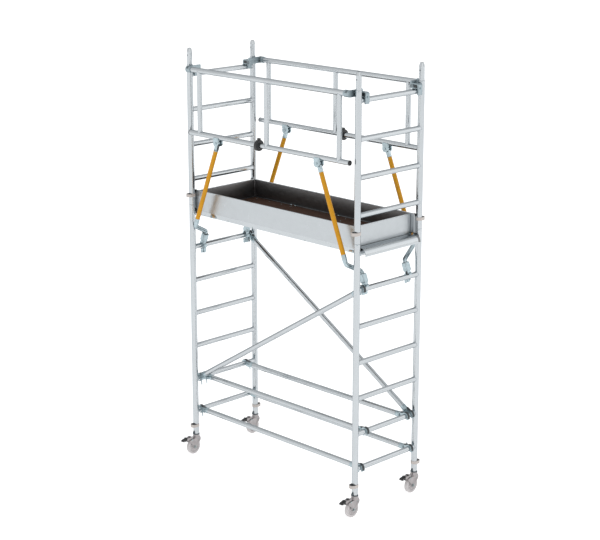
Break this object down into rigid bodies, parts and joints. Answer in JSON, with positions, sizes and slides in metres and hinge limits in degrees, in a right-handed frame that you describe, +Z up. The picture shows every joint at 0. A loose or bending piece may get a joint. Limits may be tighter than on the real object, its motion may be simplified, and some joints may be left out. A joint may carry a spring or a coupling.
{
  "type": "baker scaffold",
  "caption": "Rolling aluminium scaffold: stacked ladder frames, hooked braces, a hatched platform with toe boards, strutted guardrails and braked swivel castors.",
  "frame": {"origin": "on the ground midway between the four posts", "axes": "+X along the platform, +Y across the ladder frames, +Z up; the castors trail toward -Y"},
  "size_m": [1.924, 0.9132, 3.3777],
  "materials": {
    "frame_aluminium": "drawn tube, satin",
    "spigot_aluminium": "drawn tube, satin",
    "deck_aluminium": "extruded, satin",
    "cast_aluminium": "cast, slightly rough",
    "zinc_plated_steel": "zinc plated, bluish",
    "dark_steel": "zinc plated, dark",
    "grey_steel": "matt",
    "ochre_paint": "powder coated, semi-gloss",
    "film_faced_plywood": "anti-slip film, fine grain",
    "beige_plastic": "moulded",
    "orange_plastic": "moulded",
    "black_plastic": "moulded",
    "grey_tread": "moulded nylon, matt"
  },
  "bodies": {
    "tower": {"posts": "frame_aluminium", "spigots": "spigot_aluminium", "rungs": "frame_aluminium", "brace_tubes": "frame_aluminium", "rung_hooks": "zinc_plated_steel", "guard_rails": "frame_aluminium", "guard_uprights": "frame_aluminium", "guard_rings_and_caps": "black_plastic", "guard_couplers": "cast_aluminium", "strut_tubes": "ochre_paint", "strut_heads": "zinc_plated_steel", "strut_cranks": "zinc_plated_steel", "deck_end_claws": "deck_aluminium", "deck_frame": "deck_aluminium", "deck_panel": "film_faced_plywood", "hatch_hinges": "zinc_plated_steel", "toe_boards": "deck_aluminium", "toe_board_caps": "black_plastic", "castor_stems": "dark_steel"},
    "base_clip_near_right": {"base_clip_near_right": "beige_plastic"},
    "joint_clip_near_right": {"joint_clip_near_right": "beige_plastic"},
    "base_clip_near_left": {"base_clip_near_left": "beige_plastic"},
    "joint_clip_near_left": {"joint_clip_near_left": "beige_plastic"},
    "base_clip_far_right": {"base_clip_far_right": "beige_plastic"},
    "joint_clip_far_right": {"joint_clip_far_right": "beige_plastic"},
    "base_clip_far_left": {"base_clip_far_left": "beige_plastic"},
    "joint_clip_far_left": {"joint_clip_far_left": "beige_plastic"},
    "base_latch_near_right": {"base_latch_near_right": "zinc_plated_steel"},
    "second_latch_near_right": {"second_latch_near_right": "zinc_plated_steel"},
    "strut_latch_near_right": {"strut_latch_near_right": "zinc_plated_steel"},
    "diagonal_latch_near_right": {"diagonal_latch_near_right": "zinc_plated_steel"},
    "base_latch_near_left": {"base_latch_near_left": "zinc_plated_steel"},
    "second_latch_near_left": {"second_latch_near_left": "zinc_plated_steel"},
    "strut_latch_near_left": {"strut_latch_near_left": "zinc_plated_steel"},
    "diagonal_latch_near_left": {"diagonal_latch_near_left": "zinc_plated_steel"},
    "base_latch_far_right": {"base_latch_far_right": "zinc_plated_steel"},
    "second_latch_far_right": {"second_latch_far_right": "zinc_plated_steel"},
    "strut_latch_far_right": {"strut_latch_far_right": "zinc_plated_steel"},
    "diagonal_latch_far_right": {"diagonal_latch_far_right": "zinc_plated_steel"},
    "base_latch_far_left": {"base_latch_far_left": "zinc_plated_steel"},
    "second_latch_far_left": {"second_latch_far_left": "zinc_plated_steel"},
    "strut_latch_far_left": {"strut_latch_far_left": "zinc_plated_steel"},
    "diagonal_latch_far_left": {"diagonal_latch_far_left": "zinc_plated_steel"},
    "hatch": {"hatch_panel": "film_faced_plywood"},
    "toe_board_catch_near_left": {"toe_board_catch_near_left": "orange_plastic"},
    "toe_board_catch_near_right": {"toe_board_catch_near_right": "orange_plastic"},
    "toe_board_catch_far_right": {"toe_board_catch_far_right": "orange_plastic"},
    "toe_board_catch_far_left": {"toe_board_catch_far_left": "orange_plastic"},
    "castor_fork_near_right": {"castor_fork_near_right": "grey_steel"},
    "castor_wheel_near_right": {"castor_wheel_near_right": "grey_tread"},
    "castor_pedal_near_right": {"castor_pedal_near_right": "grey_steel"},
    "castor_fork_near_left": {"castor_fork_near_left": "grey_steel"},
    "castor_wheel_near_left": {"castor_wheel_near_left": "grey_tread"},
    "castor_pedal_near_left": {"castor_pedal_near_left": "grey_steel"},
    "castor_fork_far_right": {"castor_fork_far_right": "grey_steel"},
    "castor_wheel_far_right": {"castor_wheel_far_right": "grey_tread"},
    "castor_pedal_far_right": {"castor_pedal_far_right": "grey_steel"},
    "castor_fork_far_left": {"castor_fork_far_left": "grey_steel"},
    "castor_wheel_far_left": {"castor_wheel_far_left": "grey_tread"},
    "castor_pedal_far_left": {"castor_pedal_far_left": "grey_steel"}
  },
  "joints": [
    {"name": "base_clip_near_right_pull", "type": "slide", "parent": "tower", "child": "base_clip_near_right", "axis": [0, -1, 0], "range_m": [0, 0.014]},
    {"name": "joint_clip_near_right_pull", "type": "slide", "parent": "tower", "child": "joint_clip_near_right", "axis": [0, -1, 0], "range_m": [0, 0.014]},
    {"name": "base_clip_near_left_pull", "type": "slide", "parent": "tower", "child": "base_clip_near_left", "axis": [0, -1, 0], "range_m": [0, 0.014]},
    {"name": "joint_clip_near_left_pull", "type": "slide", "parent": "tower", "child": "joint_clip_near_left", "axis": [0, -1, 0], "range_m": [0, 0.014]},
    {"name": "base_clip_far_right_pull", "type": "slide", "parent": "tower", "child": "base_clip_far_right", "axis": [0, 1, 0], "range_m": [0, 0.014]},
    {"name": "joint_clip_far_right_pull", "type": "slide", "parent": "tower", "child": "joint_clip_far_right", "axis": [0, 1, 0], "range_m": [0, 0.014]},
    {"name": "base_clip_far_left_pull", "type": "slide", "parent": "tower", "child": "base_clip_far_left", "axis": [0, 1, 0], "range_m": [0, 0.014]},
    {"name": "joint_clip_far_left_pull", "type": "slide", "parent": "tower", "child": "joint_clip_far_left", "axis": [0, 1, 0], "range_m": [0, 0.014]},
    {"name": "base_latch_near_right_pivot", "type": "hinge", "parent": "tower", "child": "base_latch_near_right", "pos_m": [0.88, -0.2943, 0.3677], "axis": [0, 1, 0], "range_deg": [0, 40], "stiffness_Nm_per_rad": 0.06, "springref_deg": -20.05},
    {"name": "second_latch_near_right_pivot", "type": "hinge", "parent": "tower", "child": "second_latch_near_right", "pos_m": [0.88, -0.2443, 0.6477], "axis": [0, 1, 0], "range_deg": [0, 40], "stiffness_Nm_per_rad": 0.06, "springref_deg": -20.05},
    {"name": "strut_latch_near_right_pivot", "type": "hinge", "parent": "tower", "child": "strut_latch_near_right", "pos_m": [0.88, -0.2523, 1.7677], "axis": [0, 1, 0], "range_deg": [0, 40], "stiffness_Nm_per_rad": 0.06, "springref_deg": -20.05},
    {"name": "diagonal_latch_near_right_pivot", "type": "hinge", "parent": "tower", "child": "diagonal_latch_near_right", "pos_m": [0.88, -0.2993, 1.7677], "axis": [0, 1, 0], "range_deg": [0, 40], "stiffness_Nm_per_rad": 0.06, "springref_deg": -20.05},
    {"name": "base_latch_near_left_pivot", "type": "hinge", "parent": "tower", "child": "base_latch_near_left", "pos_m": [-0.88, -0.2943, 0.3677], "axis": [0, -1, 0], "range_deg": [0, 40], "stiffness_Nm_per_rad": 0.06, "springref_deg": -20.05},
    {"name": "second_latch_near_left_pivot", "type": "hinge", "parent": "tower", "child": "second_latch_near_left", "pos_m": [-0.88, -0.2443, 0.6477], "axis": [0, -1, 0], "range_deg": [0, 40], "stiffness_Nm_per_rad": 0.06, "springref_deg": -20.05},
    {"name": "strut_latch_near_left_pivot", "type": "hinge", "parent": "tower", "child": "strut_latch_near_left", "pos_m": [-0.88, -0.2523, 1.7677], "axis": [0, -1, 0], "range_deg": [0, 40], "stiffness_Nm_per_rad": 0.06, "springref_deg": -20.05},
    {"name": "diagonal_latch_near_left_pivot", "type": "hinge", "parent": "tower", "child": "diagonal_latch_near_left", "pos_m": [-0.88, -0.2993, 0.6477], "axis": [0, -1, 0], "range_deg": [0, 40], "stiffness_Nm_per_rad": 0.06, "springref_deg": -20.05},
    {"name": "base_latch_far_right_pivot", "type": "hinge", "parent": "tower", "child": "base_latch_far_right", "pos_m": [0.88, 0.2943, 0.3677], "axis": [0, 1, 0], "range_deg": [0, 40], "stiffness_Nm_per_rad": 0.06, "springref_deg": -20.05},
    {"name": "second_latch_far_right_pivot", "type": "hinge", "parent": "tower", "child": "second_latch_far_right", "pos_m": [0.88, 0.2443, 0.6477], "axis": [0, 1, 0], "range_deg": [0, 40], "stiffness_Nm_per_rad": 0.06, "springref_deg": -20.05},
    {"name": "strut_latch_far_right_pivot", "type": "hinge", "parent": "tower", "child": "strut_latch_far_right", "pos_m": [0.88, 0.2523, 1.7677], "axis": [0, 1, 0], "range_deg": [0, 40], "stiffness_Nm_per_rad": 0.06, "springref_deg": -20.05},
    {"name": "diagonal_latch_far_right_pivot", "type": "hinge", "parent": "tower", "child": "diagonal_latch_far_right", "pos_m": [0.88, 0.2993, 0.6477], "axis": [0, 1, 0], "range_deg": [0, 40], "stiffness_Nm_per_rad": 0.06, "springref_deg": -20.05},
    {"name": "base_latch_far_left_pivot", "type": "hinge", "parent": "tower", "child": "base_latch_far_left", "pos_m": [-0.88, 0.2943, 0.3677], "axis": [0, -1, 0], "range_deg": [0, 40], "stiffness_Nm_per_rad": 0.06, "springref_deg": -20.05},
    {"name": "second_latch_far_left_pivot", "type": "hinge", "parent": "tower", "child": "second_latch_far_left", "pos_m": [-0.88, 0.2443, 0.6477], "axis": [0, -1, 0], "range_deg": [0, 40], "stiffness_Nm_per_rad": 0.06, "springref_deg": -20.05},
    {"name": "strut_latch_far_left_pivot", "type": "hinge", "parent": "tower", "child": "strut_latch_far_left", "pos_m": [-0.88, 0.2523, 1.7677], "axis": [0, -1, 0], "range_deg": [0, 40], "stiffness_Nm_per_rad": 0.06, "springref_deg": -20.05},
    {"name": "diagonal_latch_far_left_pivot", "type": "hinge", "parent": "tower", "child": "diagonal_latch_far_left", "pos_m": [-0.88, 0.2993, 1.7677], "axis": [0, -1, 0], "range_deg": [0, 40], "stiffness_Nm_per_rad": 0.06, "springref_deg": -20.05},
    {"name": "hatch_hinge", "type": "hinge", "parent": "tower", "child": "hatch", "pos_m": [-0.143, 0.288, 2.101], "axis": [-1, 0, 0], "range_deg": [0, 95]},
    {"name": "toe_board_catch_near_left_turn", "type": "hinge", "parent": "tower", "child": "toe_board_catch_near_left", "pos_m": [-0.684, -0.3047, 2.05], "axis": [0, -1, 0], "range_deg": [0, 90]},
    {"name": "toe_board_catch_near_right_turn", "type": "hinge", "parent": "tower", "child": "toe_board_catch_near_right", "pos_m": [0.82, -0.3047, 2.05], "axis": [0, -1, 0], "range_deg": [0, 90]},
    {"name": "toe_board_catch_far_right_turn", "type": "hinge", "parent": "tower", "child": "toe_board_catch_far_right", "pos_m": [0.684, 0.3047, 2.05], "axis": [0, 1, 0], "range_deg": [0, 90]},
    {"name": "toe_board_catch_far_left_turn", "type": "hinge", "parent": "tower", "child": "toe_board_catch_far_left", "pos_m": [-0.82, 0.3047, 2.05], "axis": [0, 1, 0], "range_deg": [0, 90]},
    {"name": "castor_swivel_near_right", "type": "hinge", "parent": "tower", "child": "castor_fork_near_right", "pos_m": [0.91, -0.3375, 0.1495], "axis": [0, 0, 1], "continuous": true},
    {"name": "castor_roll_near_right", "type": "hinge", "parent": "castor_fork_near_right", "child": "castor_wheel_near_right", "pos_m": [0.91, -0.3715, 0.0625], "axis": [1, 0, 0], "continuous": true},
    {"name": "castor_brake_near_right", "type": "hinge", "parent": "castor_fork_near_right", "child": "castor_pedal_near_right", "pos_m": [0.91, -0.4015, 0.131], "axis": [1, 0, 0], "range_deg": [0, 12], "stiffness_Nm_per_rad": 1, "springref_deg": -8.59},
    {"name": "castor_swivel_near_left", "type": "hinge", "parent": "tower", "child": "castor_fork_near_left", "pos_m": [-0.91, -0.3375, 0.1495], "axis": [0, 0, 1], "continuous": true},
    {"name": "castor_roll_near_left", "type": "hinge", "parent": "castor_fork_near_left", "child": "castor_wheel_near_left", "pos_m": [-0.91, -0.3715, 0.0625], "axis": [1, 0, 0], "continuous": true},
    {"name": "castor_brake_near_left", "type": "hinge", "parent": "castor_fork_near_left", "child": "castor_pedal_near_left", "pos_m": [-0.91, -0.4015, 0.131], "axis": [1, 0, 0], "range_deg": [0, 12], "stiffness_Nm_per_rad": 1, "springref_deg": -8.59},
    {"name": "castor_swivel_far_right", "type": "hinge", "parent": "tower", "child": "castor_fork_far_right", "pos_m": [0.91, 0.3375, 0.1495], "axis": [0, 0, 1], "continuous": true},
    {"name": "castor_roll_far_right", "type": "hinge", "parent": "castor_fork_far_right", "child": "castor_wheel_far_right", "pos_m": [0.91, 0.3035, 0.0625], "axis": [1, 0, 0], "continuous": true},
    {"name": "castor_brake_far_right", "type": "hinge", "parent": "castor_fork_far_right", "child": "castor_pedal_far_right", "pos_m": [0.91, 0.2735, 0.131], "axis": [1, 0, 0], "range_deg": [0, 12], "stiffness_Nm_per_rad": 1, "springref_deg": -8.59},
    {"name": "castor_swivel_far_left", "type": "hinge", "parent": "tower", "child": "castor_fork_far_left", "pos_m": [-0.91, 0.3375, 0.1495], "axis": [0, 0, 1], "continuous": true},
    {"name": "castor_roll_far_left", "type": "hinge", "parent": "castor_fork_far_left", "child": "castor_wheel_far_left", "pos_m": [-0.91, 0.3035, 0.0625], "axis": [1, 0, 0], "continuous": true},
    {"name": "castor_brake_far_left", "type": "hinge", "parent": "castor_fork_far_left", "child": "castor_pedal_far_left", "pos_m": [-0.91, 0.2735, 0.131], "axis": [1, 0, 0], "range_deg": [0, 12], "stiffness_Nm_per_rad": 1, "springref_deg": -8.59}
  ]
}
